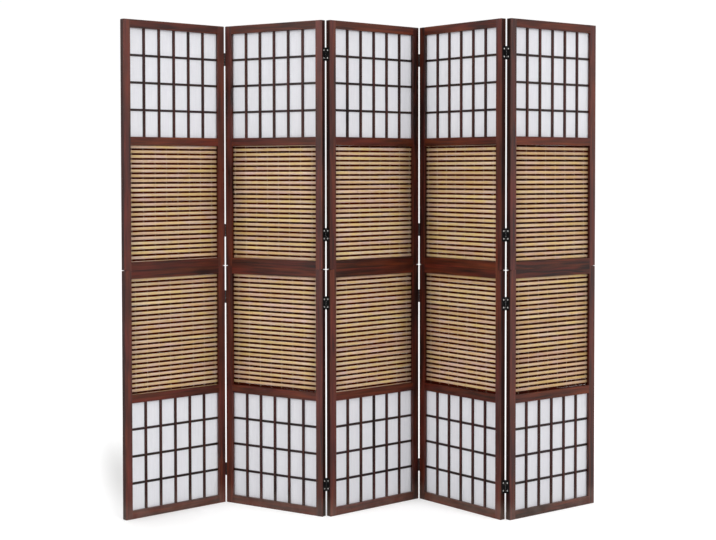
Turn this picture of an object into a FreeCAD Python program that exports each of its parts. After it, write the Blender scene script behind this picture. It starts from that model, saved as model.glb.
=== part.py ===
import FreeCAD, Part
import math
import os

# Five-panel folding screen. Lengths are in millimetres and angles in degrees.
# A panel is modelled in its own frame: X along its width from the left end, Y from its front face
# to its back face, Z up from the floor. Each panel is then turned and set in the zigzag.

# Whole screen
screen_height = 1800.0
panel_width = 441.0
panel_thickness = 20.0
panel_directions = (41.3, -32.7, 41.2, -50.9, 38.0)    # from +X, from the left panel to the right

# Frame members: each panel is two half-frames of two stiles and three rails, stacked at a seam
stile_width = 29.0
rail_height = 30.0
lattice_field_height = 390.0
edge_ease = 0.5
end_corner_ease = 2.0
edge_pick_reach = 0.01

# Tenons at the rail ends
tenon_length = 15.0
tenon_thickness = 8.0
tenon_shoulder = 7.0
tenon_clearance = 0.1

# Groove round the inner edges of the frame, which holds the paper and the woven mats
groove_front = 10.3
groove_width = 3.6
groove_depth = 6.0
groove_end_stop = 12.0

# Lattice: uprights in front, flat crossbars let into their backs
lattice_columns = 6
lattice_rows = 4
lattice_front = 6.0
upright_width = 8.5
upright_depth = 7.0
upright_pitch = 64.4
crossbar_height = 8.5
crossbar_depth = 4.0
crossbar_pitch = 98.1
halving_clearance = 0.1

# Paper behind the lattice
paper_thickness = 0.4
paper_tuck = 5.0

# Woven mat: wide light slats and narrow dark sticks in turn, tied by loops of thread
mat_front = 10.9
mat_thickness = 2.4
mat_tuck = 4.0
mat_side_tuck = 5.0
slat_height = 10.8
stick_height = 5.8
weave_gap = 0.4
slat_phase_share = 0.0
stick_phase_share = 0.5
slat_ease = 0.5
least_strip_height = 2.0
upper_mat_starts = (14.0, 5.2, 7.2, 6.2, 7.2)     # lowest slat's centre above its field, by panel
lower_mat_starts = (13.6, 13.9, 14.3, 13.9, 14.6)
thread_columns = 7
thread_pitch = 54.0
thread_width = 0.8
thread_thickness = 0.3

# Dowels across the seam
dowel_radius = 4.0
dowel_length = 36.0
dowel_clearance = 0.05
dowel_inset = 110.0
dowel_end_room = 0.5

# Butt hinges: four at each fold, with the leaves on the stiles' end faces
hinge_height = 48.0
knuckle_count = 5
knuckle_gap = 0.3
barrel_radius = 1.8
pin_radius = 0.9
pin_running_clearance = 0.05
axis_out = 1.2
axis_proud = 1.6
leaf_thickness = 0.9
leaf_depth = 16.0
leaf_clearance = 0.3
tongue_bite = 0.8

# Middles of the hinges, set by hand: up from the floor, down and up from the seam, down from the top
hinge_end_distances = (
    (127.0, 118.0, 133.0, 124.0),
    (115.0, 122.0, 126.0, 122.0),
    (131.0, 120.0, 133.0, 124.0),
    (119.0, 120.0, 127.0, 122.0),
)

# Countersunk wood screws, two in each leaf
screw_shank_radius = 1.5
screw_head_radius = 2.5
screw_length = 13.0
screw_tip_length = 3.0
screw_tip_radius = 0.3
screw_end_distance = 10.0
screw_hole_clearance = 0.05

cut_overrun = 1.0

half_height = screen_height / 2
opening_width = panel_width - 2 * stile_width
panel_count = len(panel_directions)
fold_count = panel_count - 1


def block(x_span, y_span, z_span):
    """Box between two places along each axis."""
    size = [high - low for low, high in (x_span, y_span, z_span)]
    corner = FreeCAD.Vector(x_span[0], y_span[0], z_span[0])
    return Part.makeBox(size[0], size[1], size[2], corner)


def about_middle(middle, length):
    return (middle - length / 2, middle + length / 2)


def mirror_x(shape, x):
    return shape.mirror(FreeCAD.Vector(x, 0, 0), FreeCAD.Vector(1, 0, 0))


def mirror_y(shape, y):
    return shape.mirror(FreeCAD.Vector(0, y, 0), FreeCAD.Vector(0, 1, 0))


def rail_lows():
    """Lower edges of the three rails in a half whose lattice is at the top."""
    end_rail = half_height - rail_height
    middle_rail = end_rail - lattice_field_height - rail_height
    return (0, middle_rail, end_rail)


def lattice_field():
    low = rail_lows()[1] + rail_height
    return (low, low + lattice_field_height)


def mat_field():
    return (rail_height, rail_lows()[1])


def flip_half(span):
    """Heights in the lower half, which is the upper half turned upside down."""
    return (half_height - span[1], half_height - span[0])


def half_spans(span):
    """The same stretch of height in the lower half and in the upper half of the screen."""
    return (flip_half(span), (span[0] + half_height, span[1] + half_height))


# Frame

def outer_edges(stile):
    """Edges round the outer face of a left stile, which stands at X = 0."""
    return [edge for edge in stile.Edges if edge.BoundBox.XMax < edge_pick_reach]


def make_stile(z_span):
    """Left stile of one half, grooved and mortised on its inner face, with its outer edges eased."""
    stile = block((0, stile_width), (0, panel_thickness), z_span)
    end_corners = [edge for edge in outer_edges(stile) if edge.BoundBox.ZLength < edge_pick_reach]
    stile = stile.makeChamfer(end_corner_ease, end_corners)
    stile = stile.makeChamfer(edge_ease, outer_edges(stile))
    inner = stile_width + cut_overrun
    groove_z = (z_span[0] + groove_end_stop, z_span[1] - groove_end_stop)
    groove_y = (groove_front, groove_front + groove_width)
    stile = stile.cut(block((stile_width - groove_depth, inner), groove_y, groove_z))
    half = 0 if z_span[0] < half_height else 1
    for low in rail_lows():
        rail_z = half_spans((low, low + rail_height))[half]
        mortise_z = (rail_z[0] + tenon_shoulder - tenon_clearance,
                     rail_z[1] - tenon_shoulder + tenon_clearance)
        mortise_y = about_middle(panel_thickness / 2, tenon_thickness + 2 * tenon_clearance)
        mortise_x = (stile_width - tenon_length - tenon_clearance, inner)
        stile = stile.cut(block(mortise_x, mortise_y, mortise_z))
    return stile.removeSplitter()


def make_rail(z_span, grooved_below, grooved_above, dowel_face):
    """Rail with a tenon at each end, grooves towards its fields and dowel holes in its seam face."""
    rail = block((stile_width, panel_width - stile_width), (0, panel_thickness), z_span)
    tenon_z = (z_span[0] + tenon_shoulder, z_span[1] - tenon_shoulder)
    tenon_y = about_middle(panel_thickness / 2, tenon_thickness)
    tenon_x = (stile_width - tenon_length, panel_width - stile_width + tenon_length)
    rail = rail.fuse(block(tenon_x, tenon_y, tenon_z)).removeSplitter()
    groove_x = (stile_width, panel_width - stile_width)
    groove_y = (groove_front, groove_front + groove_width)
    if grooved_below:
        groove_z = (z_span[0] - cut_overrun, z_span[0] + groove_depth)
        rail = rail.cut(block(groove_x, groove_y, groove_z))
    if grooved_above:
        groove_z = (z_span[1] - groove_depth, z_span[1] + cut_overrun)
        rail = rail.cut(block(groove_x, groove_y, groove_z))
    if dowel_face is not None:
        reach = dowel_length / 2 + dowel_end_room
        for x in dowel_places():
            base = FreeCAD.Vector(x, panel_thickness / 2, dowel_face - reach)
            rail = rail.cut(Part.makeCylinder(dowel_radius + dowel_clearance, 2 * reach, base))
    return rail


def dowel_places():
    return (dowel_inset, panel_width - dowel_inset)


def make_stiles(panel):
    """Four stiles of a panel, drilled where its hinges are screwed on."""
    stiles = []
    for z_span in ((0, half_height), (half_height, screen_height)):
        left = make_stile(z_span)
        right = mirror_x(left, panel_width / 2)
        for side, stile in (("left", left), ("right", right)):
            if has_hinges(panel, side):
                for low in hinge_lows(fold_at(panel, side)):
                    if z_span[0] < low < z_span[1]:
                        for hole in make_screw_holes():
                            stile = stile.cut(set_on_end(hole, panel, side, low))
            stiles.append(stile)
    return stiles


def make_rails(panel):
    """Six rails of a panel, from the floor to the top."""
    rails = []
    seam_low, middle_low, end_low = rail_lows()
    for low, below, above in ((seam_low, False, True), (middle_low, True, True), (end_low, True, False)):
        in_lower, in_upper = half_spans((low, low + rail_height))
        seam = half_height if low == seam_low else None
        rails.append(make_rail(in_lower, above, below, seam))
        rails.append(make_rail(in_upper, below, above, seam))
    return rails


def make_dowels(panel):
    base_z = half_height - dowel_length / 2
    return [Part.makeCylinder(dowel_radius, dowel_length, FreeCAD.Vector(x, panel_thickness / 2, base_z))
            for x in dowel_places()]


# Lattice and paper

def bar_middles(middle, count, pitch):
    return [middle + (i - (count - 1) / 2) * pitch for i in range(count)]


def crossbar_y():
    back = lattice_front + upright_depth
    return (back - crossbar_depth, back)


def make_uprights(panel):
    """Upright lattice bars, each with a notch in its back for every crossbar."""
    uprights = []
    for field in half_spans(lattice_field()):
        heights = bar_middles(sum(field) / 2, lattice_rows - 1, crossbar_pitch)
        for x in bar_middles(panel_width / 2, lattice_columns - 1, upright_pitch):
            bar_x = about_middle(x, upright_width)
            bar = block(bar_x, (lattice_front, lattice_front + upright_depth), field)
            for z in heights:
                notch_x = (bar_x[0] - cut_overrun, bar_x[1] + cut_overrun)
                notch_y = (crossbar_y()[0] - halving_clearance, crossbar_y()[1] + cut_overrun)
                notch_z = about_middle(z, crossbar_height + 2 * halving_clearance)
                bar = bar.cut(block(notch_x, notch_y, notch_z))
            uprights.append(bar)
    return uprights


def make_crossbars(panel):
    crossbars = []
    for field in half_spans(lattice_field()):
        for z in bar_middles(sum(field) / 2, lattice_rows - 1, crossbar_pitch):
            bar_x = (stile_width, panel_width - stile_width)
            crossbars.append(block(bar_x, crossbar_y(), about_middle(z, crossbar_height)))
    return crossbars


def make_papers(panel):
    """Paper sheets glued to the backs of the lattices, with their edges in the frame's groove."""
    papers = []
    front = lattice_front + upright_depth
    for field in half_spans(lattice_field()):
        sheet_x = (stile_width - paper_tuck, panel_width - stile_width + paper_tuck)
        sheet_z = (field[0] - paper_tuck, field[1] + paper_tuck)
        papers.append(block(sheet_x, (front, front + paper_thickness), sheet_z))
    return papers


# Woven mats

def mat_pitch():
    return slat_height + stick_height + 2 * weave_gap


def mat_span(field):
    return (field[0] - mat_tuck, field[1] + mat_tuck)


def make_strips(panel, height, phase_share):
    """Strips that lie across both mats of a panel, cut to length and clipped at the mats' edges."""
    strips = []
    starts = (lower_mat_starts[panel], upper_mat_starts[panel])
    for field, start in zip(half_spans(mat_field()), starts):
        low_edge, high_edge = mat_span(field)
        middle = field[0] + start + phase_share * mat_pitch()
        middle = middle - math.ceil((middle - low_edge) / mat_pitch()) * mat_pitch()
        while middle - height / 2 < high_edge:
            low = max(middle - height / 2, low_edge)
            high = min(middle + height / 2, high_edge)
            if high - low > least_strip_height:
                strips.append(make_strip((low, high)))
            middle = middle + mat_pitch()
    return strips


def make_strip(z_span):
    """One strip with its two front edges eased."""
    low, high = z_span
    back = mat_front + mat_thickness
    start_x = stile_width - mat_side_tuck
    section = ((mat_front, low + slat_ease), (mat_front, high - slat_ease), (mat_front + slat_ease, high),
               (back, high), (back, low), (mat_front + slat_ease, low))
    points = [FreeCAD.Vector(start_x, y, z) for y, z in section]
    face = Part.Face(Part.makePolygon(points + points[:1]))
    return face.extrude(FreeCAD.Vector(opening_width + 2 * mat_side_tuck, 0, 0))


def make_slats(panel):
    return make_strips(panel, slat_height, slat_phase_share)


def make_sticks(panel):
    return make_strips(panel, stick_height, stick_phase_share)


def make_threads(panel):
    """Loops of thread round the front and back of each mat."""
    threads = []
    for field in half_spans(mat_field()):
        mat_z = mat_span(field)
        mat_y = (mat_front, mat_front + mat_thickness)
        for x in bar_middles(panel_width / 2, thread_columns, thread_pitch):
            outer = block(about_middle(x, thread_width),
                          (mat_y[0] - thread_thickness, mat_y[1] + thread_thickness),
                          (mat_z[0] - thread_thickness, mat_z[1] + thread_thickness))
            inner = block(about_middle(x, thread_width + 2 * cut_overrun), mat_y, mat_z)
            threads.append(outer.cut(inner))
    return threads


# Hinges
# A hinge is first made about its own axis at X = Y = 0, with its foot at Z = 0, for the right end of
# a panel that folds forwards: the stile's end face is at X = -axis_out and its front at Y = axis_proud.

def fold_at(panel, side):
    return panel - 1 if side == "left" else panel


def has_hinges(panel, side):
    return 0 <= fold_at(panel, side) < fold_count


def hinge_lows(fold):
    """Feet of the four hinges at a fold: two for each half."""
    ends = ((0, 1), (half_height, -1), (half_height, 1), (screen_height, -1))
    return [end + sign * distance - hinge_height / 2
            for (end, sign), distance in zip(ends, hinge_end_distances[fold])]


def folds_forwards(panel, side):
    """Folds alternate: the first closes front to front, the next back to back."""
    return fold_at(panel, side) % 2 == 0


def set_on_end(shape, panel, side, low):
    """Move a shape from the hinge's own frame to an end of a panel."""
    if side == "left":
        shape = mirror_x(shape, 0)
    if not folds_forwards(panel, side):
        shape = mirror_y(shape, 0)
    x, y = axis_place(panel, side)
    shape.translate(FreeCAD.Vector(x, y, low))
    return shape


def axis_place(panel, side):
    """Where the fold's axis stands in the panel's own frame."""
    x = -axis_out if side == "left" else panel_width + axis_out
    y = -axis_proud if folds_forwards(panel, side) else panel_thickness + axis_proud
    return (x, y)


def knuckle_spans(outer):
    """Heights of every other knuckle, from the first one where the leaf holds the outer ones."""
    length = hinge_height / knuckle_count
    spans = []
    for i in range(0 if outer else 1, knuckle_count, 2):
        low = i * length + (knuckle_gap / 2 if i > 0 else 0)
        high = (i + 1) * length - (knuckle_gap / 2 if i < knuckle_count - 1 else 0)
        spans.append((low, high))
    return spans


def screw_heights():
    return (screw_end_distance, hinge_height - screw_end_distance)


def screw_y():
    return axis_proud + leaf_depth / 2


def make_leaf(outer):
    """Leaf with its knuckles, bored for the pin and countersunk for the screws."""
    leaf_x = (-axis_out, -axis_out + leaf_thickness)
    plate_front = barrel_radius + leaf_clearance
    leaf = block(leaf_x, (plate_front, axis_proud + leaf_depth), (0, hinge_height))
    for low, high in knuckle_spans(outer):
        barrel = Part.makeCylinder(barrel_radius, high - low, FreeCAD.Vector(0, 0, low))
        tongue = block(leaf_x, (barrel_radius - tongue_bite, plate_front), (low, high))
        leaf = leaf.fuse([barrel, tongue])
    bore_radius = pin_radius if outer else pin_radius + pin_running_clearance
    bore_base = FreeCAD.Vector(0, 0, -cut_overrun)
    leaf = leaf.cut(Part.makeCylinder(bore_radius, hinge_height + 2 * cut_overrun, bore_base))
    for z in screw_heights():
        leaf = leaf.cut(make_screw_body(z, screw_hole_clearance))
    return leaf.removeSplitter()


def make_screw_body(z, clearance):
    """Countersunk head and plain shank, with the head flush in the leaf."""
    into_wood = FreeCAD.Vector(-1, 0, 0)
    face = FreeCAD.Vector(-axis_out + leaf_thickness, screw_y(), z)
    seat = FreeCAD.Vector(-axis_out, screw_y(), z)
    head = Part.makeCone(screw_head_radius + clearance, screw_shank_radius + clearance,
                         leaf_thickness, face, into_wood)
    shank_length = screw_length - leaf_thickness - screw_tip_length
    shank = Part.makeCylinder(screw_shank_radius + clearance, shank_length + clearance, seat, into_wood)
    return head.fuse(shank).removeSplitter()


def make_screw(z):
    tip_start = leaf_thickness - axis_out - screw_length + screw_tip_length
    tip = Part.makeCone(screw_shank_radius, screw_tip_radius, screw_tip_length,
                        FreeCAD.Vector(tip_start, screw_y(), z), FreeCAD.Vector(-1, 0, 0))
    return make_screw_body(z, 0).fuse(tip).removeSplitter()


def make_screw_holes():
    """Pilot holes in the stile, a little longer than the screws."""
    depth = screw_length - leaf_thickness + screw_hole_clearance
    holes = []
    for z in screw_heights():
        start = FreeCAD.Vector(-axis_out + cut_overrun, screw_y(), z)
        hole = Part.makeCylinder(screw_shank_radius + screw_hole_clearance, depth + cut_overrun,
                                 start, FreeCAD.Vector(-1, 0, 0))
        holes.append(hole)
    return holes


def make_leaves(panel):
    """All leaves of a panel: outer knuckles at its right end, inner knuckles at its left end."""
    leaves = []
    for side in ("left", "right"):
        if has_hinges(panel, side):
            for low in hinge_lows(fold_at(panel, side)):
                leaves.append(set_on_end(make_leaf(side == "right"), panel, side, low))
    return leaves


def make_screws(panel):
    screws = []
    for side in ("left", "right"):
        if has_hinges(panel, side):
            for low in hinge_lows(fold_at(panel, side)):
                for z in screw_heights():
                    screws.append(set_on_end(make_screw(z), panel, side, low))
    return screws


def make_pins(panel):
    """Hinge pins of the fold at the panel's right end."""
    x, y = axis_place(panel, "right")
    lows = hinge_lows(fold_at(panel, "right"))
    return [Part.makeCylinder(pin_radius, hinge_height, FreeCAD.Vector(x, y, low)) for low in lows]


# Zigzag

def turned(point, direction):
    angle = math.radians(direction)
    return (point[0] * math.cos(angle) - point[1] * math.sin(angle),
            point[0] * math.sin(angle) + point[1] * math.cos(angle))


def panel_places():
    """Where each panel's own origin stands, so that neighbours share their fold's axis."""
    places = [(0, 0)]
    for panel in range(fold_count):
        axis = turned(axis_place(panel, "right"), panel_directions[panel])
        back = turned(axis_place(panel + 1, "left"), panel_directions[panel + 1])
        here = places[-1]
        places.append((here[0] + axis[0] - back[0], here[1] + axis[1] - back[1]))
    return places


piece_makers = {
    "stiles": make_stiles,
    "rails": make_rails,
    "seam_dowels": make_dowels,
    "lattice_uprights": make_uprights,
    "lattice_crossbars": make_crossbars,
    "papers": make_papers,
    "slats": make_slats,
    "sticks": make_sticks,
    "mat_threads": make_threads,
    "hinge_leaves": make_leaves,
    "hinge_screws": make_screws,
}


def build_nodes():
    """Every node of the screen, by name, with the screen standing over the origin."""
    nodes = {}
    for panel, place in enumerate(panel_places()):
        pieces = {"panel_%d_%s" % (panel + 1, name): make(panel) for name, make in piece_makers.items()}
        if panel < fold_count:
            pieces["fold_%d_hinge_pins" % (panel + 1)] = make_pins(panel)
        for name, solids in pieces.items():
            shape = Part.makeCompound(solids)
            shape.rotate(FreeCAD.Vector(0, 0, 0), FreeCAD.Vector(0, 0, 1), panel_directions[panel])
            shape.translate(FreeCAD.Vector(place[0], place[1], 0))
            nodes[name] = shape
    centre = footprint_centre(nodes)
    for shape in nodes.values():
        shape.translate(FreeCAD.Vector(-centre[0], -centre[1], 0))
    return nodes


def footprint_centre(nodes):
    box = Part.makeCompound(list(nodes.values())).BoundBox
    return (box.Center.x, box.Center.y)


def fold_axes(centre):
    """Where each fold's axis stands on the floor, once the screen is centred."""
    axes = []
    for panel, place in enumerate(panel_places()[:fold_count]):
        axis = turned(axis_place(panel, "right"), panel_directions[panel])
        axes.append((place[0] + axis[0] - centre[0], place[1] + axis[1] - centre[1]))
    return axes


os.makedirs("parts", exist_ok=True)
for node_name, node_shape in build_nodes().items():
    node_shape.exportStep("parts/%s.step" % node_name)
    print(node_name, len(node_shape.Solids), "solids")
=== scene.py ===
import math
import bmesh
import bpy
import numpy as np
from mathutils import Matrix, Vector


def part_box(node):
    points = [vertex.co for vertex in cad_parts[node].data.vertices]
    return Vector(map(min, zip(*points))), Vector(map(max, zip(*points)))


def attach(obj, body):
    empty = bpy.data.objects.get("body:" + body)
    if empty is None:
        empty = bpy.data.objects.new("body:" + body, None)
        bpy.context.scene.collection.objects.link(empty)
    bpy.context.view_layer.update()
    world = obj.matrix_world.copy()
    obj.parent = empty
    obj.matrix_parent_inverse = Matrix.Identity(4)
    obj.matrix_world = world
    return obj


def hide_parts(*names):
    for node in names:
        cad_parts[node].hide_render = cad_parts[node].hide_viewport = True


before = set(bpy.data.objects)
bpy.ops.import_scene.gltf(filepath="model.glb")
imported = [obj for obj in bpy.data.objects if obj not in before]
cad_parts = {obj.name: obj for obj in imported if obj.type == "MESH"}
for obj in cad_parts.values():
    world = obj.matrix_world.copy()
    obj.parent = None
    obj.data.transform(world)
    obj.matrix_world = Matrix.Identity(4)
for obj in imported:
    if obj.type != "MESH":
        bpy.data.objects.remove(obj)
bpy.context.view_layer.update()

# Five-panel folding screen: stained wood frames, paper lattices and woven bamboo mats.
# All lengths are metres in the shared frame. A panel's own axes are: along from its middle to the
# right, back from the middle of its thickness, and up from the floor.

panelNumbers = (1, 2, 3, 4, 5)
midHeight = 0.9  # seam between the lower and the upper half-frames
millimetre = 0.001
print("frame loaded")


# Reading the frame

def nodePoints(nodeName):
    # the node's vertices as an array of rows x, y, z
    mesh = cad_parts[nodeName].data
    flat = np.empty(len(mesh.vertices) * 3, dtype=np.float32)
    mesh.vertices.foreach_get("co", flat)
    return flat.reshape(-1, 3).astype(float)


def panelPlace(number):
    # the slats run along the panel, so the longest axis of their plan is its direction
    body = "panel_%d" % number
    low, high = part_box(body + "_stiles")
    middle = np.array([(low.x + high.x) / 2, (low.y + high.y) / 2, 0.0])
    plan = nodePoints(body + "_slats")[:, :2]
    plan = plan - (plan.min(axis=0) + plan.max(axis=0)) / 2
    along = np.linalg.svd(plan, full_matrices=False)[2][0]
    along = along * np.sign(along[0])
    turn = np.array([[along[0], -along[1], 0], [along[1], along[0], 0], [0, 0, 1]])
    return {"number": number, "body": body, "middle": middle, "turn": turn}


def toPanel(panel, points):
    return (points - panel["middle"]) @ panel["turn"]


def toWorld(panel, points):
    return points @ panel["turn"].T + panel["middle"]


panels = [panelPlace(number) for number in panelNumbers]


def stripLevels(nodeName):
    # a strip shows four heights, its two ends and its two eased edges: the first and last are kept
    heights = np.unique(np.round(nodePoints(nodeName)[:, 2], 5))
    return heights.reshape(-1, 4)[:, [0, 3]]


# Meshes

def finishPiece(panel, nodeName, ending, mesh, materials):
    # the mesh becomes the piece that stands in the node's place and has its slot
    piece = bpy.data.objects.new(nodeName + ending, mesh)
    bpy.context.scene.collection.objects.link(piece)
    for material in materials:
        mesh.materials.append(material)
    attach(piece, panel["body"])
    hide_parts(nodeName)
    return piece


def giveAttribute(mesh, name, values):
    kind = "FLOAT" if values.ndim == 1 else "FLOAT_VECTOR"
    layer = mesh.attributes.new(name, kind, "POINT")
    layer.data.foreach_set("value" if kind == "FLOAT" else "vector", values.astype(np.float32).ravel())


def tubeMesh(name, points, attributes):
    # points is tubes x stations x ring x 3: each ring is joined to the next, the last point of a ring
    # to its first, and one flat face closes each end; faces are turned round where they point inwards
    tubes, stations, ring = points.shape[:3]
    number = np.arange(tubes * stations * ring).reshape(tubes, stations, ring)
    nextRound = np.roll(number, -1, axis=2)
    sides = np.stack([number[:, :-1], nextRound[:, :-1], nextRound[:, 1:], number[:, 1:]], axis=-1)
    sides = sides.reshape(-1, 4)
    startCaps, endCaps = number[:, 0], number[:, -1]
    first, last = points[:, 0], points[:, -1]
    centre = first.mean(axis=1, keepdims=True)
    spin = np.cross(first - centre, np.roll(first, -1, axis=1) - centre).sum(axis=1)
    run = last.mean(axis=1) - first.mean(axis=1)
    if (spin * run).sum() > 0:
        faces = sides.tolist() + startCaps[:, ::-1].tolist() + endCaps.tolist()
    else:
        faces = sides[:, ::-1].tolist() + startCaps.tolist() + endCaps[:, ::-1].tolist()
    mesh = bpy.data.meshes.new(name)
    mesh.from_pydata(points.reshape(-1, 3).tolist(), [], faces)
    for label, values in attributes.items():
        giveAttribute(mesh, label, values)
    mesh.polygons.foreach_set("use_smooth", np.arange(len(faces)) < len(sides))
    mesh.update()
    return mesh


# Shader nodes

def feed(tree, made, values):
    # a value that is itself a socket is linked, and any other is written into the input
    for socket, value in values.items():
        if isinstance(value, bpy.types.NodeSocket):
            tree.links.new(value, made.inputs[socket])
        else:
            made.inputs[socket].default_value = value


def addNode(tree, kind, values=None, **settings):
    made = tree.nodes.new("ShaderNode" + kind)
    for name, value in settings.items():
        setattr(made, name, value)
    feed(tree, made, values or {})
    return made


def calc(tree, operation, *terms, clamp=False):
    made = addNode(tree, "Math", dict(enumerate(terms)), operation=operation, use_clamp=clamp)
    return made.outputs[0]


def plus(tree, first, second, clamp=False):
    return calc(tree, "ADD", first, second, clamp=clamp)


def times(tree, first, second):
    return calc(tree, "MULTIPLY", first, second)


def centred(tree, value):
    # a share between nought and one, moved to lie about nought
    return calc(tree, "SUBTRACT", value, 0.5)


def noise(tree, place, scale, detail=2.0, roughness=0.5, distortion=0.0):
    # three numbers for the scale draw the noise out along the axes with the smaller ones
    if isinstance(scale, tuple):
        place = addNode(tree, "VectorMath", {0: place, 1: scale}, operation="MULTIPLY").outputs[0]
        scale = 1.0
    made = addNode(tree, "TexNoise", {"Vector": place, "Scale": scale, "Detail": detail,
                                      "Roughness": roughness, "Distortion": distortion})
    return made.outputs[0]


def remap(tree, value, fromLow, fromHigh, toLow=0.0, toHigh=1.0, ease="LINEAR"):
    made = addNode(tree, "MapRange", {0: value, 1: fromLow, 2: fromHigh, 3: toLow, 4: toHigh},
                   interpolation_type=ease)
    return made.outputs[0]


def mixColours(tree, share, first, second, kind="MIX"):
    # a Mix node takes its colours at sockets 6 and 7 and gives the mixed one at output 2
    made = addNode(tree, "Mix", {0: share, 6: first, 7: second}, data_type="RGBA", blend_type=kind)
    return made.outputs[2]


def tint(tree, first, second):
    return mixColours(tree, 1.0, first, second, "MULTIPLY")


def attribute(tree, name):
    return addNode(tree, "Attribute", attribute_name=name).outputs


def objectPlace(tree):
    return addNode(tree, "TexCoord").outputs["Object"]


def splitVector(tree, vector):
    return addNode(tree, "SeparateXYZ", {0: vector}).outputs


def bumpFrom(tree, height, distance):
    return addNode(tree, "Bump", {"Strength": 1.0, "Distance": distance, "Height": height}).outputs[0]


def newGroup(name, inputs, outputs):
    # inputs and outputs are pairs of a socket's name and its kind: Color, Float or Vector
    tree = bpy.data.node_groups.new(name, "ShaderNodeTree")
    for direction, sockets in (("INPUT", inputs), ("OUTPUT", outputs)):
        for label, kind in sockets:
            tree.interface.new_socket(name=label, in_out=direction, socket_type="NodeSocket" + kind)
    entry = tree.nodes.new("NodeGroupInput")
    leave = tree.nodes.new("NodeGroupOutput")
    return tree, entry.outputs, leave


def placeGroup(tree, group, values):
    return addNode(tree, "Group", values, node_tree=group).outputs


def newMaterial(name, **plain):
    # plain are the sockets of the Principled BSDF that are the same all over, by their names
    material = bpy.data.materials.new(name)
    material.use_nodes = True
    tree = material.node_tree
    tree.nodes.clear()
    shader = addNode(tree, "BsdfPrincipled", plain)
    addNode(tree, "OutputMaterial", {0: shader.outputs[0]})
    return material, tree, shader


# Grain: long fibres, short open pores, and a figure of growth bands, streaks and clouds, all drawn out
# along the first axis; the hue drifts between a purple red and a warm brown

grainMake = {"fibreScale": (9.0, 420.0, 420.0), "bandScale": (2.2, 26.0, 26.0), "bandTurns": 38.0,
             "streakScale": (5.0, 95.0, 95.0), "cloudScale": (4.0, 11.0, 11.0),
             "poreScale": (70.0, 1900.0, 1900.0), "driftScale": (3.0, 40.0, 40.0),
             "fibres": 0.9, "bands": 0.14, "streaks": 1.2, "clouds": 1.0, "darkest": 0.45,
             "poreEdge": (0.62, 0.72), "pores": 0.7, "poreTint": (0.42, 0.36, 0.36, 1),
             "driftEdge": (0.38, 0.62), "purple": (0.95, 0.84, 0.98, 1), "brown": (1.05, 1.24, 0.78, 1),
             "fibreRoughness": 0.22, "poreRoughness": 0.12, "fibreHeight": 0.5}


def makeGrainGroup():
    tree, given, leave = newGroup(
        "grain",
        [("Place", "Vector"), ("Tone", "Float"), ("Figure", "Float"), ("Dark", "Color"),
         ("Light", "Color"), ("Rough", "Float")],
        [("Colour", "Color"), ("Roughness", "Float"), ("Height", "Float")])
    make = grainMake
    place = given["Place"]
    fibres = noise(tree, place, make["fibreScale"], detail=4.0, roughness=0.6)
    bands = calc(tree, "SINE", times(tree, noise(tree, place, make["bandScale"]), make["bandTurns"]))
    streaks = centred(tree, noise(tree, place, make["streakScale"]))
    clouds = centred(tree, noise(tree, place, make["cloudScale"]))
    pores = remap(tree, noise(tree, place, make["poreScale"], detail=1.0), *make["poreEdge"])
    drift = remap(tree, noise(tree, place, make["driftScale"]), *make["driftEdge"])
    figure = times(tree, bands, make["bands"])
    figure = plus(tree, figure, times(tree, streaks, make["streaks"]))
    figure = plus(tree, figure, times(tree, clouds, make["clouds"]))
    share = plus(tree, times(tree, fibres, make["fibres"]), times(tree, figure, given["Figure"]))
    share = plus(tree, share, calc(tree, "SUBTRACT", given["Tone"], make["darkest"]), clamp=True)
    colour = mixColours(tree, share, given["Dark"], given["Light"])
    hue = mixColours(tree, drift, make["purple"], make["brown"])
    colour = mixColours(tree, given["Figure"], colour, tint(tree, colour, hue))
    poreColour = tint(tree, colour, make["poreTint"])
    colour = mixColours(tree, times(tree, pores, make["pores"]), colour, poreColour)
    spread = plus(tree, times(tree, centred(tree, fibres), make["fibreRoughness"]),
                  times(tree, pores, make["poreRoughness"]))
    height = calc(tree, "SUBTRACT", times(tree, fibres, make["fibreHeight"]), pores)
    feed(tree, leave, {"Colour": colour, "Roughness": plus(tree, given["Rough"], spread),
                       "Height": height})
    return tree


# Handling: broad, faint smudges that change how a finish shines

handlingMake = {"scale": 14.0, "edge": (0.35, 0.7)}


def makeHandlingGroup():
    tree, given, leave = newGroup(
        "handling", [("Place", "Vector"), ("Roughness", "Float"), ("Amount", "Float")],
        [("Roughness", "Float")])
    smudge = noise(tree, given["Place"], handlingMake["scale"], detail=4.0, roughness=0.6,
                   distortion=0.4)
    smudge = remap(tree, smudge, *handlingMake["edge"])
    change = times(tree, centred(tree, smudge), given["Amount"])
    feed(tree, leave, {"Roughness": plus(tree, given["Roughness"], change, clamp=True)})
    return tree


grainGroup = makeGrainGroup()
handlingGroup = makeHandlingGroup()
noiseSpan = (0.3, 0.7)  # a noise seldom leaves these


def pieceGrain(tree, look, figure):
    # grain along each board or strip, in the piece's own attributes
    return placeGroup(tree, grainGroup, {
        "Place": attribute(tree, "grainPlace")["Vector"], "Tone": attribute(tree, "tone")["Fac"],
        "Figure": figure, "Dark": look["dark"], "Light": look["light"], "Rough": look["rough"]})


# Stained wood of the frames and lattices

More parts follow.
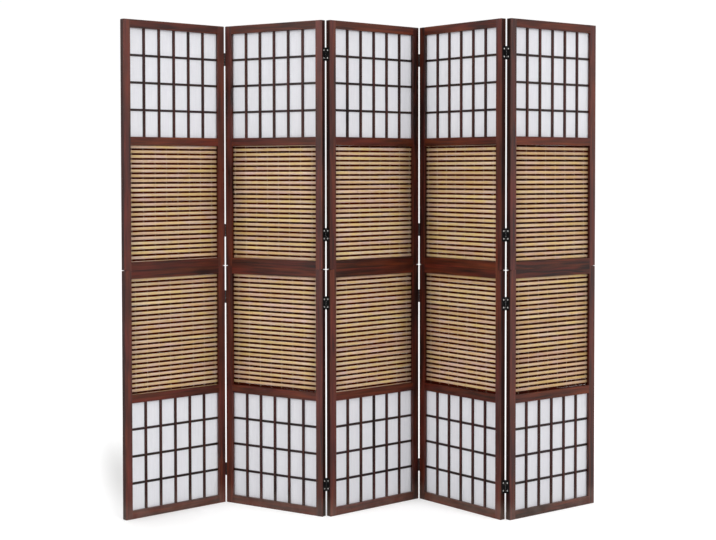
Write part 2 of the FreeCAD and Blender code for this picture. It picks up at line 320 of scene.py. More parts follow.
frameLook = {"dark": (0.012, 0.0018, 0.0010, 1), "light": (0.112, 0.0165, 0.0080, 1), "rough": 0.38,
             "shine": 0.30, "lacquer": 0.14, "grainDepth": 0.10 * millimetre}
railLook = {"dark": (0.012, 0.0020, 0.0008, 1), "light": (0.118, 0.0185, 0.0070, 1), "rough": 0.42,
            "shine": 0.22, "lacquer": 0.07, "grainDepth": 0.10 * millimetre}
uprightLook = {"dark": (0.009, 0.0018, 0.0014, 1), "light": (0.060, 0.0115, 0.0080, 1), "rough": 0.44,
               "shine": 0.20, "lacquer": 0.05, "grainDepth": 0.08 * millimetre}
# the crossbars' colours are darker and greyer than the uprights': a painted shade of their recess
# behind the uprights
crossbarShadedLook = {"dark": (0.006, 0.0026, 0.0024, 1), "light": (0.026, 0.012, 0.012, 1), "rough": 0.46,
                "shine": 0.24, "lacquer": 0.04, "grainDepth": 0.08 * millimetre}
sideLook = {"dark": (0.004, 0.0009, 0.0007, 1), "light": (0.034, 0.0065, 0.0045, 1), "rough": 0.46,
            "shine": 0.15, "lacquer": 0.0, "grainDepth": 0.08 * millimetre}
rubbedLook = {"dark": (0.020, 0.0035, 0.0020, 1), "light": (0.140, 0.030, 0.016, 1), "rough": 0.44,
              "shine": 0.32, "lacquer": 0.10, "grainDepth": 0.05 * millimetre}
woodFinish = {"figure": 1.0, "coatRoughness": 0.28, "smudges": 0.16}
# a paler, greyer tint in patches on what stands just above the floor: painted light of the white
# floor's bounce
floorBounceLook = {"colour": (0.40, 0.33, 0.28, 1), "amount": 0.085, "fullHeight": 0.030, "noHeight": 0.075,
            "patchScale": 22.0, "patchSpan": (0.5, 1.5)}


def makeWood(name, look):
    material, tree, shader = newMaterial(
        name, **{"Specular IOR Level": look["shine"], "Coat Weight": look["lacquer"],
                 "Coat Roughness": woodFinish["coatRoughness"]})
    place = objectPlace(tree)
    grain = pieceGrain(tree, look, woodFinish["figure"])
    hands = placeGroup(tree, handlingGroup, {"Place": place, "Roughness": grain["Roughness"],
                                             "Amount": woodFinish["smudges"]})
    # painted light: the lowest parts are tinted paler and greyer in patches, for the white floor's
    # bounce
    low = remap(tree, splitVector(tree, place)["Z"], floorBounceLook["fullHeight"], floorBounceLook["noHeight"],
                floorBounceLook["amount"], 0.0)
    patches = noise(tree, place, floorBounceLook["patchScale"], detail=4.0, roughness=0.6)
    patches = remap(tree, patches, *noiseSpan, *floorBounceLook["patchSpan"])
    floorBounceLit = mixColours(tree, times(tree, low, patches), grain["Colour"], floorBounceLook["colour"])
    feed(tree, shader, {"Base Color": floorBounceLit, "Roughness": hands["Roughness"],
                        "Normal": bumpFrom(tree, grain["Height"], look["grainDepth"])})
    return material


frameWood = makeWood("frameWood", frameLook)
railWood = makeWood("railWood", railLook)
stileSide = makeWood("stileSide", sideLook)
uprightWood = makeWood("uprightWood", uprightLook)
# the crossbars' material carries the painted shade of their recess
crossbarShadedWood = makeWood("crossbarShadedWood", crossbarShadedLook)
rubbedEdge = makeWood("rubbedEdge", rubbedLook)

# the boards' rounded edges, worn corners and random tones, with painted light: the boards at the seam
# are toned darker as a painted shade for the weaker sheen at mid height
boardWearAndPaintedLight = {"edge": 0.30 * millimetre, "rounds": 2, "flatAngle": 0.5, "edgeAngle": 35.0,
             "grainShift": 9.0, "tone": 0.5, "toneSpread": 0.10, "seamShade": 0.12, "seamReach": 0.04,
             "outerFace": 1.0 * millimetre, "cornerRub": 10.0 * millimetre,
             "cornerReach": 4.0 * millimetre, "seamPick": 0.05 * millimetre,
             # left and right stiles toned lighter or darker than the rest, by panel: painted sheen on
             # the stiles at the open end and the near folds, painted shade on the two in the deep fold
             # between panels 3 and 4
             "stileLightAndShade": {1: (0.10, 0.0), 3: (0.06, -0.24), 4: (-0.16, 0.04)}}


def mergedNode(nodeName):
    # the node's loose triangles, with their corners merged within each half-frame, so that the seam
    # stays open: vertices, and the three vertex numbers of each triangle
    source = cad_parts[nodeName].data
    source.calc_loop_triangles()
    flat = np.empty(len(source.loop_triangles) * 3, dtype=np.int32)
    source.loop_triangles.foreach_get("vertices", flat)
    points = nodePoints(nodeName)[flat]
    upper = points.reshape(-1, 3, 3)[:, :, 2].mean(axis=1) > midHeight
    keys = np.column_stack([np.round(points, 6), np.repeat(upper, 3)])
    unique, corners = np.unique(keys, axis=0, return_inverse=True)
    return unique[:, :3], corners.reshape(-1, 3)


def boardNumbers(corners, count):
    # each vertex takes the lowest number in its triangles, over and over, until a whole board agrees
    labels = np.arange(count)
    while True:
        lowest = labels[corners].min(axis=1)
        fresh = labels.copy()
        np.minimum.at(fresh, corners, lowest[:, None])
        if np.array_equal(fresh, labels):
            return np.unique(labels, return_inverse=True)[1]
        labels = fresh


def rubSeamCorners(local):
    # the corners where two halves meet are worn back along the seam, so a small wedge stands open
    # there: the points of the seam's ends move inwards, and every other point stays
    reach = np.abs(local[:, 0])
    atEnd = reach > reach.max() - boardWearAndPaintedLight["cornerReach"]
    atSeam = np.abs(local[:, 2] - midHeight) < boardWearAndPaintedLight["seamPick"]
    moved = local.copy()
    moved[:, 0] -= np.sign(local[:, 0]) * boardWearAndPaintedLight["cornerRub"] * (atEnd & atSeam)
    return moved


def paintOuterFaces(mesh, panel):
    # faces that lie on a panel's two ends take the second material
    centres = np.empty(len(mesh.polygons) * 3, dtype=np.float32)
    mesh.polygons.foreach_get("center", centres)
    along = np.abs(toPanel(panel, centres.reshape(-1, 3).astype(float))[:, 0])
    outer = along > along.max() - boardWearAndPaintedLight["outerFace"]
    mesh.polygons.foreach_set("material_index", outer.astype(np.int32))


def softenBoards(panel, kind, alongPanel, seed, materials):
    # a copy of the node's boards with flat faces made whole and the corners rounded; each board has its
    # own grain and tone, the boards at the seam are darker as a painted shade, some stiles carry
    # painted light and shade, and the last material is on the rounds
    wearAndPaintedLight = boardWearAndPaintedLight
    nodeName = panel["body"] + kind
    vertices, corners = mergedNode(nodeName)
    board = boardNumbers(corners, len(vertices))
    draw = np.random.default_rng(seed)
    shift = draw.uniform(-wearAndPaintedLight["grainShift"], wearAndPaintedLight["grainShift"], (board.max() + 1, 3))
    tone = draw.uniform(-wearAndPaintedLight["toneSpread"], wearAndPaintedLight["toneSpread"], board.max() + 1) + wearAndPaintedLight["tone"]
    height = np.bincount(board, weights=vertices[:, 2]) / np.bincount(board)
    # painted shade: the boards at the seam are toned darker
    tone -= wearAndPaintedLight["seamShade"] * (np.abs(height - midHeight) < wearAndPaintedLight["seamReach"])
    local = toPanel(panel, vertices)
    if kind == "_stiles":
        # painted light and shade: stiles at the open end and the near folds toned lighter, those in the
        # deep fold between panels 3 and 4 darker
        onRight = (np.bincount(board, weights=local[:, 0]) > 0).astype(int)
        tone += np.array(wearAndPaintedLight["stileLightAndShade"].get(panel["number"], (0.0, 0.0)))[onRight]
        local = rubSeamCorners(local)
        vertices = toWorld(panel, local)
    grainAxes = [0, 2, 1] if alongPanel else [2, 0, 1]  # the first axis lies along the boards
    mesh = bpy.data.meshes.new(nodeName + "_boards")
    mesh.from_pydata(vertices.tolist(), [], corners.tolist())
    giveAttribute(mesh, "grainPlace", local[:, grainAxes] + shift[board])
    giveAttribute(mesh, "tone", tone[board])
    work = bmesh.new()
    work.from_mesh(mesh)
    bmesh.ops.dissolve_limit(work, angle_limit=math.radians(wearAndPaintedLight["flatAngle"]), verts=work.verts,
                             edges=work.edges)
    work.to_mesh(mesh)
    work.free()
    if len(materials) > 2:
        paintOuterFaces(mesh, panel)
    piece = finishPiece(panel, nodeName, "_finished", mesh, materials)
    bevel = piece.modifiers.new("softEdges", "BEVEL")
    bevel.width = wearAndPaintedLight["edge"]
    bevel.segments = wearAndPaintedLight["rounds"]
    bevel.limit_method = "ANGLE"
    bevel.angle_limit = math.radians(wearAndPaintedLight["edgeAngle"])
    bevel.use_clamp_overlap = False
    bevel.material = len(materials) - 1


for panel in panels:
    seed = 10 * panel["number"]
    softenBoards(panel, "_stiles", False, seed, [frameWood, stileSide, rubbedEdge])
    softenBoards(panel, "_rails", True, seed + 1, [railWood, rubbedEdge])
    softenBoards(panel, "_lattice_uprights", False, seed + 5, [uprightWood])
    softenBoards(panel, "_lattice_crossbars", True, seed + 6, [crossbarShadedWood])
print("frames and lattices done")


# Woven mats: split bamboo slats and dark stained sticks, tied by pairs of twisted threads

stripShape = {"halfLength": 0.196, "front": 0.9 * millimetre, "thickness": 2.4 * millimetre,
              "stations": 6, "ring": 10, "bow": 0.16 * millimetre, "lean": 0.22 * millimetre,
              "bowTurns": 2.1}
# a roundness of 1 is an oval and near 0 a square; a positive spread closes the gaps beside the strip
slatSection = {"roundness": 0.55, "spread": -0.30 * millimetre}
stickSection = {"roundness": 0.75, "spread": 0.80 * millimetre}
# the mats' tone by panel, a little lower on the second and much lower on the last, where the lowering
# is a painted shade for the key light that falls fully on that end panel, and the panels where the
# lowest slat, nearly hidden by its rail, is stained like a stick
matVarietyAndShade = {"panelToneAndShade": (0.0, -0.05, 0.0, 0.0, -0.22), "tone": 0.5, "toneSpread": 0.10,
            "jointReach": 0.3, "grainShift": 9.0, "stainedEnds": (2, 4, 5)}


def stripPoints(panel, levels, section, draw):
    # each strip is a closed section carried along the panel: height and depth follow a rounded
    # rectangle, cosine and sine raised to the roundness, and a slow sine bows the strip a little
    shape = stripShape
    angle = np.linspace(0, 2 * math.pi, shape["ring"], endpoint=False) + math.pi / shape["ring"]
    across = np.sign(np.cos(angle)) * np.abs(np.cos(angle)) ** section["roundness"]
    upward = np.sign(np.sin(angle)) * np.abs(np.sin(angle)) ** section["roundness"]
    run = np.linspace(-shape["halfLength"], shape["halfLength"], shape["stations"])[None, :, None]
    phase = draw.uniform(0, 2 * math.pi, (2, len(levels), 1, 1))
    wave = np.sin(run / shape["halfLength"] * shape["bowTurns"] + phase)
    middle = levels.mean(axis=1)[:, None, None]
    half = (levels[:, 1] - levels[:, 0])[:, None, None] / 2 + section["spread"]
    depth = shape["front"] + shape["thickness"] / 2 + across * shape["thickness"] / 2
    depth = depth + wave[0] * shape["lean"]
    height = middle + upward * half + wave[1] * shape["bow"]
    return np.stack(np.broadcast_arrays(run, depth, height), axis=-1)


def stainLowestStrip(mesh, stripCount):
    # each strip has the same number of side faces, and the caps follow in the strips' order
    sidesEach = (stripShape["stations"] - 1) * stripShape["ring"]
    number = np.arange(stripCount)
    strip = np.concatenate([np.repeat(number, sidesEach), number, number])
    mesh.polygons.foreach_set("material_index", (strip == 0).astype(np.int32))


def makeStrips(panel, kind, section, seed, materials):
    varietyAndShade = matVarietyAndShade
    nodeName = panel["body"] + kind
    draw = np.random.default_rng(seed)
    local = stripPoints(panel, stripLevels(nodeName), section, draw)
    size = local.shape[:3]
    shift = draw.uniform(-varietyAndShade["grainShift"], varietyAndShade["grainShift"], (size[0], 1, 1, 3))
    tone = draw.normal(varietyAndShade["tone"], varietyAndShade["toneSpread"], (size[0], 1, 1))
    # painted shade: the last panel's mats are toned darker
    tone = np.broadcast_to(tone, size) + varietyAndShade["panelToneAndShade"][panel["number"] - 1]
    joint = draw.uniform(-varietyAndShade["jointReach"], varietyAndShade["jointReach"], (size[0], 1, 1))
    mesh = tubeMesh(nodeName + "_strips", toWorld(panel, local), {
        "grainPlace": (local[..., [0, 2, 1]] + shift).reshape(-1, 3), "tone": tone.ravel(),
        "jointDistance": (local[..., 0] - joint).ravel()})
    if len(materials) > 1 and panel["number"] in varietyAndShade["stainedEnds"]:
        stainLowestStrip(mesh, size[0])
    finishPiece(panel, nodeName, "_woven", mesh, materials)


# the bamboo's skin is golden or pale in patches, with small brown stains and a ring at each joint
bambooLook = {"dark": (0.39, 0.240, 0.128, 1), "light": (0.66, 0.486, 0.328, 1), "rough": 0.46,
              "shine": 0.35, "figure": 0.35, "fibreDepth": 0.06 * millimetre,
              "golden": (1.07, 1.03, 0.74, 1), "pale": (1.02, 1.02, 1.28, 1),
              "patchScale": (16.0, 55.0, 55.0), "patchEdge": (0.36, 0.64),
              "stain": (0.30, 0.150, 0.065, 1), "staining": 0.45,
              "stainScale": (45.0, 260.0, 260.0), "stainEdge": (0.56, 0.70),
              "joint": (0.32, 0.17, 0.07, 1), "jointShade": 0.7, "jointHeight": 3.0,
              "jointWidth": (0.44 * millimetre, 1.1 * millimetre)}
stickLook = {"dark": (0.012, 0.0010, 0.0002, 1), "light": (0.051, 0.0042, 0.0006, 1), "rough": 0.55,
             "shine": 0.03, "figure": 0.35, "fibreDepth": 0.06 * millimetre}


def makeBamboo():
    look = bambooLook
    material, tree, shader = newMaterial("splitBamboo", **{"Specular IOR Level": look["shine"]})
    place = attribute(tree, "grainPlace")["Vector"]
    grain = pieceGrain(tree, look, look["figure"])
    patches = noise(tree, place, look["patchScale"], detail=3.0, roughness=0.6)
    patches = remap(tree, patches, *look["patchEdge"])
    stains = noise(tree, place, look["stainScale"], detail=3.0, roughness=0.65)
    stains = remap(tree, stains, *look["stainEdge"])
    away = calc(tree, "ABSOLUTE", attribute(tree, "jointDistance")["Fac"])
    joint = remap(tree, away, *look["jointWidth"], 1.0, 0.0)
    skin = tint(tree, grain["Colour"], mixColours(tree, patches, look["golden"], look["pale"]))
    skin = mixColours(tree, times(tree, stains, look["staining"]), skin, look["stain"])
    colour = mixColours(tree, times(tree, joint, look["jointShade"]), skin, look["joint"])
    height = plus(tree, grain["Height"], times(tree, joint, look["jointHeight"]))
    feed(tree, shader, {"Base Color": colour, "Roughness": grain["Roughness"],
                        "Normal": bumpFrom(tree, height, look["fibreDepth"])})
    return material


def makeStickWood():
    look = stickLook
    material, tree, shader = newMaterial("stainedStick", **{"Specular IOR Level": look["shine"]})
    grain = pieceGrain(tree, look, look["figure"])
    feed(tree, shader, {"Base Color": grain["Colour"], "Roughness": grain["Roughness"],
                        "Normal": bumpFrom(tree, grain["Height"], look["fibreDepth"])})
    return material


# the threads' columns stand a little off the middle, to the right in one mat and to the left in the
# next, and the turned panel is fitted the other way up
threadShape = {"columns": 8, "pitch": 0.050, "offCentre": 7 * millimetre, "turnedPanels": (3,),
               "radius": 0.34 * millimetre, "ring": 5, "stepsPerStrip": 4, "sunk": 0.25,
               "twist": 0.36 * millimetre, "wander": 0.5 * millimetre, "skew": 1.6 * millimetre}
threadLook = {"dark": (0.38, 0.30, 0.20, 1), "light": (0.73, 0.64, 0.50, 1), "shine": 0.2, "sheen": 0.3,
              "roughSpan": (0.75, 0.95), "twistScale": 900.0, "twistBend": 1.5, "fuzzScale": 1400.0,
              "twistDepth": 0.12 * millimetre}


def makeThreads(panel, seed, material):
    # two strands stand side by side at each column: one passes in front of every other strip while the
    # other passes behind it, on a cosine of the strip count, and they change places in the gaps
    shape = threadShape
    body = panel["body"]
    draw = np.random.default_rng(seed)
    middles = np.vstack([stripLevels(body + "_slats"), stripLevels(body + "_sticks")]).mean(axis=1)
    middles = np.sort(middles)
    matMiddle = stripShape["front"] + stripShape["thickness"] / 2
    swing = stripShape["thickness"] / 2 + shape["radius"] * (1 - shape["sunk"])
    columns = (np.arange(shape["columns"]) - (shape["columns"] - 1) / 2) * shape["pitch"]
    angle = np.linspace(0, 2 * math.pi, shape["ring"], endpoint=False)
    turned = panel["number"] in shape["turnedPanels"]
    work = bmesh.new()
    for upper in (False, True):
        half = middles[(middles > midHeight) == upper]
        offCentre = shape["offCentre"] if upper == turned else -shape["offCentre"]
        strip = np.arange(len(half))
        place = np.linspace(0, len(half) - 1, (len(half) - 1) * shape["stepsPerStrip"] + 1)
        height = np.interp(place, strip, half)
        drift = draw.normal(0, shape["wander"], (shape["columns"], len(half)))
        lean = draw.uniform(-1, 1, (shape["columns"], 1)) * shape["skew"]
        side = np.stack([np.interp(place, strip, row) for row in drift])
        side = side + lean * np.linspace(-1, 1, len(place)) + columns[:, None] + offCentre
        for strand in (1, -1):
            depth = matMiddle - strand * swing * np.cos(math.pi * place)
            apart = strand * shape["twist"] * np.abs(np.sin(math.pi * place))
            x = (side + apart)[:, :, None] + shape["radius"] * np.cos(angle)
            y = depth[None, :, None] + shape["radius"] * np.sin(angle)
            local = np.stack(np.broadcast_arrays(x, y, height[None, :, None]), axis=-1)
            mesh = tubeMesh("strands", toWorld(panel, local),
                            {"strandPlace": local[..., [2, 0, 1]].reshape(-1, 3)})
            work.from_mesh(mesh)
            bpy.data.meshes.remove(mesh)
    joined = bpy.data.meshes.new(body + "_strands")
    work.to_mesh(joined)
    work.free()
    finishPiece(panel, body + "_mat_threads", "_twined", joined, [material])


def makeCotton():
    look = threadLook
    material, tree, shader = newMaterial(
        "cottonThread", **{"Specular IOR Level": look["shine"], "Sheen Weight": look["sheen"]})
    place = attribute(tree, "strandPlace")["Vector"]
    twist = addNode(tree, "TexWave", {"Vector": place, "Scale": look["twistScale"],
                                      "Distortion": look["twistBend"]}, bands_direction="DIAGONAL")
    fuzz = noise(tree, place, look["fuzzScale"])
    share = times(tree, plus(tree, twist.outputs["Fac"], fuzz), 0.5)
    feed(tree, shader, {"Base Color": mixColours(tree, share, look["dark"], look["light"]),
                        "Roughness": remap(tree, fuzz, *noiseSpan, *look["roughSpan"]),
                        "Normal": bumpFrom(tree, share, look["twistDepth"])})
    return material


splitBamboo = makeBamboo()
stainedStick = makeStickWood()
cottonThread = makeCotton()
for panel in panels:
    makeStrips(panel, "_slats", slatSection, 100 + panel["number"], [splitBamboo, stainedStick])
    makeStrips(panel, "_sticks", stickSection, 200 + panel["number"], [stainedStick])
    makeThreads(panel, 300 + panel["number"], cottonThread)
print("mats done")


# Paper behind the lattices

paperShape = {"cellColumns": 6, "cellRows": 4, "stepsPerCell": 6, "slack": 0.45 * millimetre,
              "slackSpan": (0.25, 1.0), "thickness": 0.4 * millimetre, "barPitch": 0.0644,
              "barRowPitch": 0.0981}
# long fibres run up the sheet, and loose ones lie where a bent noise crosses its middle
paperLook = {"dark": (0.76, 0.76, 0.785, 1), "light": (0.93, 0.93, 0.95, 1), "throughLight": 0.62,
             "shine": 0.2, "roughSpan": (0.78, 0.92), "longScale": (320.0, 320.0, 12.0), "long": 0.9,
             "looseScale": (90.0, 90.0, 60.0), "looseWidth": 0.02, "loose": 0.25,
             "fibreDepth": 0.05 * millimetre}


def evenSteps(values, cells):
    # places from the least value to the greatest, with the same number of steps in every cell
    return np.linspace(values.min(), values.max(), cells * paperShape["stepsPerCell"] + 1)


def rimOf(number):
    # the points on a grid's border, once round
    return np.concatenate([number[:-1, 0], number[-1, :-1], number[:0:-1, -1], number[0, :0:-1]])


def sheetFaces(number, back):
    # quads of the near side, of the far side, and of the rim that joins the two all round
    near = np.stack([number[:-1, :-1], number[1:, :-1], number[1:, 1:], number[:-1, 1:]], axis=-1)
    far = np.stack([back[:-1, :-1], back[:-1, 1:], back[1:, 1:], back[1:, :-1]], axis=-1)
    rim, rimBack = rimOf(number), rimOf(back)
    edge = np.stack([rim, rimBack, np.roll(rimBack, -1), np.roll(rim, -1)], axis=-1)
    return near.reshape(-1, 4).tolist() + far.reshape(-1, 4).tolist() + edge.tolist()


def makePapers(panel, seed, material):
    # the sheet lies on the backs of the bars and sags away from them a little in every pane: the depth
    # is a cosine hump along and up, times a random slackness of the pane
    shape = paperShape
    across, upward = shape["cellColumns"], shape["cellRows"]
    draw = np.random.default_rng(seed)
    nodeName = panel["body"] + "_papers"
    solids = toPanel(panel, nodePoints(nodeName))
    front = solids[:, 1].min()
    vertices = []
    faces = []
    for upper in (False, True):
        sheet = solids[(solids[:, 2] > midHeight) == upper]
        rows = evenSteps(sheet[:, 2], upward)
        x, z = np.meshgrid(evenSteps(sheet[:, 0], across), rows, indexing="ij")
        column = x / shape["barPitch"]
        row = (z - rows.mean()) / shape["barRowPitch"]
        slackness = draw.uniform(*shape["slackSpan"], (across + 2, upward + 2))
        cell = slackness[(np.floor(column) + across // 2 + 1).astype(int),
                         (np.floor(row) + upward // 2 + 1).astype(int)]
        hump = (1 - np.cos(2 * math.pi * column)) * (1 - np.cos(2 * math.pi * row)) / 4
        inside = (np.abs(column) < across / 2) & (np.abs(row) < upward / 2)
        depth = front + np.where(inside, shape["slack"] * hump * cell, 0)
        near = np.stack([x, depth, z], axis=-1).reshape(-1, 3)
        number = np.arange(x.size).reshape(x.shape) + sum(len(side) for side in vertices)
        vertices += [near, near + np.array([0, shape["thickness"], 0])]
        faces += sheetFaces(number, number + x.size)
    local = np.vstack(vertices)
    mesh = bpy.data.meshes.new(nodeName + "_sheets")
    mesh.from_pydata(toWorld(panel, local).tolist(), [], faces)
    giveAttribute(mesh, "sheetPlace", local)
    mesh.update()
    finishPiece(panel, nodeName, "_fitted", mesh, [material])


def makePaper():
    look = paperLook
    material, tree, shader = newMaterial("fibrePaper", **{"Specular IOR Level": look["shine"]})
    surface = shader.outputs[0].links[0].to_socket
    place = attribute(tree, "sheetPlace")["Vector"]
    long = noise(tree, place, look["longScale"], detail=3.0, roughness=0.6, distortion=0.3)
    bent = noise(tree, place, look["looseScale"], detail=4.0, roughness=0.65, distortion=1.2)
    loose = remap(tree, calc(tree, "ABSOLUTE", centred(tree, bent)), 0.0, look["looseWidth"], 1.0, 0.0)
    share = plus(tree, times(tree, long, look["long"]), times(tree, loose, look["loose"]), clamp=True)
    colour = mixColours(tree, share, look["dark"], look["light"])
    normal = bumpFrom(tree, share, look["fibreDepth"])
    feed(tree, shader, {"Base Color": colour, "Normal": normal,
                        "Roughness": remap(tree, long, *noiseSpan, *look["roughSpan"])})
    through = addNode(tree, "BsdfTranslucent", {"Color": colour, "Normal": normal})
    both = addNode(tree, "MixShader", {0: look["throughLight"], 1: shader.outputs[0],
                                       2: through.outputs[0]})
    tree.links.new(both.outputs[0], surface)
    return material


fibrePaper = makePaper()
for panel in panels:
    makePapers(panel, 400 + panel["number"], fibrePaper)
print("papers done")


# Hinges and dowels: blackened leaves and pins, bright countersunk screws, plain wood across the seam

leafLook = {"dark": (0.010, 0.010, 0.011, 1), "light": (0.060, 0.058, 0.056, 1), "rough": 0.24,
            "metal": 1.0, "varnish": 1.0, "scratches": 0.03 * millimetre}
pinLook = {"dark": (0.09, 0.088, 0.085, 1), "light": (0.30, 0.29, 0.28, 1), "rough": 0.30,
           "metal": 1.0, "varnish": 0.0, "scratches": 0.02 * millimetre}
screwLook = {"dark": (0.66, 0.65, 0.63, 1), "light": (0.92, 0.91, 0.88, 1), "rough": 0.34,
             "metal": 0.45, "varnish": 0.0, "scratches": 0.02 * millimetre}
steelFinish = {"brushScale": (500.0, 500.0, 2600.0), "brushing": 0.5, "spotScale": 620.0,
               "spotEdge": (0.55, 0.75), "spots": 0.6, "roughSpread": 0.12, "varnishRoughness": 0.10,
               "smudges": 0.12}
dowelLook = {"dark": (0.38, 0.25, 0.14, 1), "light": (0.62, 0.46, 0.29, 1), "rough": 0.6, "shine": 0.3,
             "tone": 0.5, "figure": 0.4, "grainDepth": 0.08 * millimetre}


def makeSteel(name, look):
    finish = steelFinish
    material, tree, shader = newMaterial(
        name, **{"Metallic": look["metal"], "Coat Weight": look["varnish"],
                 "Coat Roughness": finish["varnishRoughness"]})
    place = objectPlace(tree)
    fine = noise(tree, place, finish["brushScale"], detail=3.0)
    spots = noise(tree, place, finish["spotScale"], detail=3.0, roughness=0.6)
    spots = remap(tree, spots, *finish["spotEdge"])
    share = plus(tree, times(tree, fine, finish["brushing"]), times(tree, spots, finish["spots"]),
                 clamp=True)
    rough = remap(tree, fine, *noiseSpan, look["rough"], look["rough"] + finish["roughSpread"])
    hands = placeGroup(tree, handlingGroup, {"Place": place, "Roughness": rough,
                                             "Amount": finish["smudges"]})
    feed(tree, shader, {"Base Color": mixColours(tree, share, look["dark"], look["light"]),
                        "Roughness": hands["Roughness"],
                        "Normal": bumpFrom(tree, fine, look["scratches"])})
    return material


def makeDowelWood():
    # the dowels stand upright, so the grain's first axis is up
    look = dowelLook
    material, tree, shader = newMaterial("dowelWood", **{"Specular IOR Level": look["shine"]})
    parts = splitVector(tree, objectPlace(tree))
    upright = addNode(tree, "CombineXYZ", {0: parts["Z"], 1: parts["X"], 2: parts["Y"]}).outputs[0]
    grain = placeGroup(tree, grainGroup, {
        "Place": upright, "Tone": look["tone"], "Figure": look["figure"], "Dark": look["dark"],
        "Light": look["light"], "Rough": look["rough"]})
    feed(tree, shader, {"Base Color": grain["Colour"], "Roughness": grain["Roughness"],
                        "Normal": bumpFrom(tree, grain["Height"], look["grainDepth"])})
    return material


blackenedSteel = makeSteel("blackenedSteel", leafLook)
pinSteel = makeSteel("pinSteel", pinLook)
brightSteel = makeSteel("brightSteel", screwLook)
dowelWood = makeDowelWood()

# lengths in millimetres; the recess's mouth and floor are shares of its outline
screwShape = {"columns": 32, "length": 13.0, "tipLength": 3.0, "tipRadius": 0.3, "shankRadius": 1.5,
              "headRadius": 2.5, "headDepth": 0.9, "shoulderRadius": 2.0, "dome": 0.25,
              "recessArm": 1.35, "recessHalfWidth": 0.36, "recessDepth": 0.8, "recessMouth": 1.12,
              "recessFloor": 0.55, "recessEase": 0.12, "leastApart": 3.0}


def screwProfile(angle):
    # radii and depths of the rings from the tip to the recess's floor, in every direction: tip, shank,
    # cone and rim, then a low dome with a cross recess whose outline is the nearer of the arm's end and
    # its side; the dome's height falls with the square of the distance from the axis
    shape = screwShape
    cosine, sine = np.abs(np.cos(angle)), np.abs(np.sin(angle))
    along, beside = np.maximum(cosine, sine), np.maximum(np.minimum(cosine, sine), 0.01)  # never nought
    cross = np.minimum(shape["recessArm"] / along, shape["recessHalfWidth"] / beside)
    even = np.ones_like(angle)
    shank = even * shape["shankRadius"]
    radii = np.stack([even * shape["tipRadius"], shank, shank, even * shape["headRadius"],
                      even * shape["shoulderRadius"], cross * shape["recessMouth"], cross,
                      cross * shape["recessFloor"]])
    dome = -shape["dome"] * (1 - (radii / shape["headRadius"]) ** 2)
    neck = shape["length"] - shape["tipLength"]
    depths = np.stack([even * shape["length"], even * neck, even * shape["headDepth"], dome[3], dome[4],
                       dome[5], dome[6] + shape["recessEase"], even * shape["recessDepth"]])
    return radii * millimetre, depths * millimetre


def makeScrews(panel, seed, material):
    # each screw is its profile turned round its own axis, with the recess at a random angle; the place
    # is the middle of the solid screw's heights and depths
    nodeName = panel["body"] + "_hinge_screws"
    solids = toPanel(panel, nodePoints(nodeName))
    draw = np.random.default_rng(seed)
    angle = np.linspace(0, 2 * math.pi, screwShape["columns"], endpoint=False)
    radii, depths = screwProfile(angle)
    screws = []
    for side in (-1, 1):
        near = solids[np.sign(solids[:, 0]) == side]
        if not len(near):
            continue
        heights = np.sort(np.unique(np.round(near[:, 2], 4)))
        breaks = np.where(np.diff(heights) > screwShape["leastApart"] * millimetre)[0] + 1
        middleDepth = (near[:, 1].min() + near[:, 1].max()) / 2
        face = np.abs(near[:, 0]).max()
        for group in np.split(heights, breaks):
            turned = angle + draw.uniform(0, math.pi / 2)
            x = side * (face - depths)
            y = middleDepth + radii * np.cos(turned)
            z = (group[0] + group[-1]) / 2 + radii * np.sin(turned)
            rings = np.stack([x, y, z], axis=-1)
            screws.append(rings if side > 0 else rings[:, ::-1])
    mesh = tubeMesh(nodeName + "_turned", toWorld(panel, np.array(screws)), {})
    mesh.polygons.foreach_set("use_smooth", np.zeros(len(mesh.polygons), dtype=bool))
    finishPiece(panel, nodeName, "_turned", mesh, [material])


def paintNode(nodeName, material):
    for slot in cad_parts[nodeName].material_slots:
        slot.material = material


for panel in panels:
    makeScrews(panel, 500 + panel["number"], brightSteel)
    paintNode(panel["body"] + "_hinge_leaves", blackenedSteel)
    paintNode(panel["body"] + "_seam_dowels", dowelWood)
for number in panelNumbers[:-1]:  # a fold follows every panel but the last
    paintNode("fold_%d_hinge_pins" % number, pinSteel)
print("hinges done")


# Floor, light and camera

floorLook = {"size": 80.0, "albedo": 0.70, "rough": 0.9, "openGlow": 0.36, "shadeGlow": 0.0,
             "shadePlace": (-0.989, 0.550, 0.0), "shadeLeft": 0.147, "shadeRight": 0.45,
             "shadeDepth": 1.382, "shadeLean": 0.229}
skyLook = {"front": 0.20, "back": 1.05, "edge": (-0.90, -0.30), "upwardShare": 0.55, "seen": 1.02}
keyLight = {"place": (13.0, -12.6, 7.2), "aim": (0, 0, 0.9), "size": 7.4, "power": 1720}
fillLight = {"place": (-13.0, -11.7, 6.8), "aim": (0, 0, 0.9), "size": 7.4, "power": 1560}
lens = {"focal": 71.422, "sensor": 36.0, "place": (-0.0140, -5.2523, 1.2557), "pitch": 1.767,
        "roll": -0.054, "turn": 0.086, "rise": -0.0768}


def shadeShare(tree):
    # the soft shade behind the first panel is an ellipse on the floor that leans with depth and is
    # narrower on its outer side: nought at its centre and one at its edge, from the shares of its width
    # and depth, where the share of the width is the greater of the two sides'
    look = floorLook
    apart = addNode(tree, "VectorMath", {0: objectPlace(tree), 1: look["shadePlace"]},
                    operation="SUBTRACT").outputs[0]
    parts = splitVector(tree, apart)
    across = plus(tree, parts["X"], times(tree, parts["Y"], look["shadeLean"]))
    across = calc(tree, "MAXIMUM", calc(tree, "DIVIDE", across, look["shadeRight"]),
                  calc(tree, "DIVIDE", across, -look["shadeLeft"]))
    deep = calc(tree, "DIVIDE", parts["Y"], look["shadeDepth"])
    return calc(tree, "SQRT", plus(tree, times(tree, across, across), times(tree, deep, deep)))


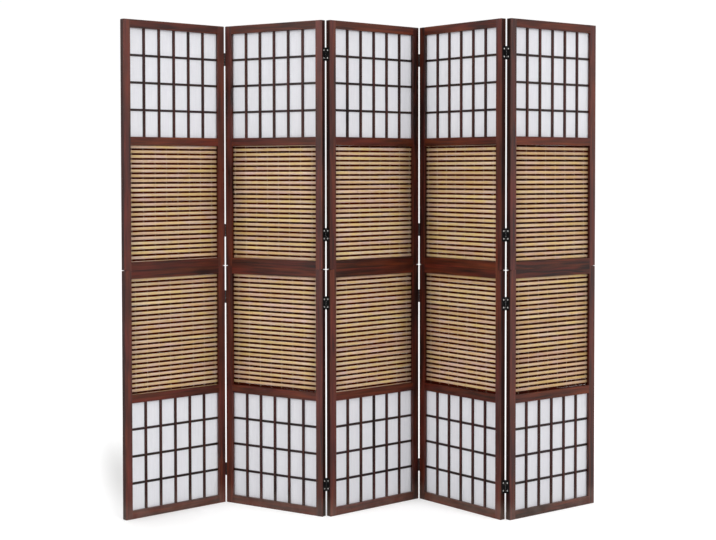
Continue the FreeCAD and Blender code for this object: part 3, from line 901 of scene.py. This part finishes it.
def makeFloor():
    look = floorLook
    corners = np.array([[-1, -1, 0], [1, -1, 0], [1, 1, 0], [-1, 1, 0]]) * look["size"] / 2
    mesh = bpy.data.meshes.new("studioFloor")
    mesh.from_pydata(corners.tolist(), [], [[0, 1, 2, 3]])
    floor = bpy.data.objects.new("studioFloor", mesh)
    bpy.context.scene.collection.objects.link(floor)
    albedo = look["albedo"]
    material, tree, shader = newMaterial(
        "whiteSweep", **{"Roughness": look["rough"], "Specular IOR Level": 0.0,
                         "Base Color": (albedo, albedo, albedo, 1), "Emission Color": (1, 1, 1, 1)})
    glow = remap(tree, shadeShare(tree), 0.0, 1.0, look["shadeGlow"], look["openGlow"], "SMOOTHSTEP")
    seen = addNode(tree, "LightPath").outputs["Is Camera Ray"]
    feed(tree, shader, {"Emission Strength": times(tree, seen, glow)})
    mesh.materials.append(material)


def makeLight(name, setup):
    data = bpy.data.lights.new(name, "AREA")
    data.shape = "SQUARE"
    data.size = setup["size"]
    data.energy = setup["power"]
    light = bpy.data.objects.new(name, data)
    bpy.context.scene.collection.objects.link(light)
    light.location = setup["place"]
    light.visible_camera = False
    aim = np.array(setup["aim"], dtype=float) - np.array(setup["place"])
    level = math.hypot(aim[0], aim[1])
    light.rotation_euler = (math.atan2(level, -aim[2]), 0, math.atan2(aim[1], aim[0]) - math.pi / 2)


def makeSky():
    # white behind and above, dim towards the viewer, and even where the camera sees it
    look = skyLook
    world = bpy.data.worlds.new("studioSky")
    bpy.context.scene.world = world
    world.use_nodes = True
    tree = world.node_tree
    tree.nodes.clear()
    direction = splitVector(tree, addNode(tree, "TexCoord").outputs["Generated"])
    backward = plus(tree, direction["Y"], times(tree, direction["Z"], look["upwardShare"]))
    ramp = remap(tree, backward, *look["edge"], look["front"], look["back"], "SMOOTHSTEP")
    seen = addNode(tree, "LightPath").outputs["Is Camera Ray"]
    # a Mix node takes its plain numbers at sockets 2 and 3
    strength = addNode(tree, "Mix", {0: seen, 2: ramp, 3: look["seen"]}).outputs[0]
    shade = addNode(tree, "Background", {"Color": (1, 1, 1, 1), "Strength": strength})
    addNode(tree, "OutputWorld", {0: shade.outputs[0]})


def makeCamera():
    data = bpy.data.cameras.new("frontCamera")
    data.lens = lens["focal"]
    data.sensor_width = lens["sensor"]
    data.shift_y = lens["rise"]
    camera = bpy.data.objects.new("frontCamera", data)
    bpy.context.scene.collection.objects.link(camera)
    camera.matrix_world = (Matrix.Translation(lens["place"])
                           @ Matrix.Rotation(math.radians(lens["turn"]), 4, "Z")
                           @ Matrix.Rotation(math.radians(90 - lens["pitch"]), 4, "X")
                           @ Matrix.Rotation(math.radians(lens["roll"]), 4, "Z"))
    bpy.context.scene.camera = camera


makeFloor()
makeLight("keyLight", keyLight)
makeLight("fillLight", fillLight)
makeSky()
makeCamera()
bpy.context.scene.view_settings.view_transform = "Standard"
print("studio done")
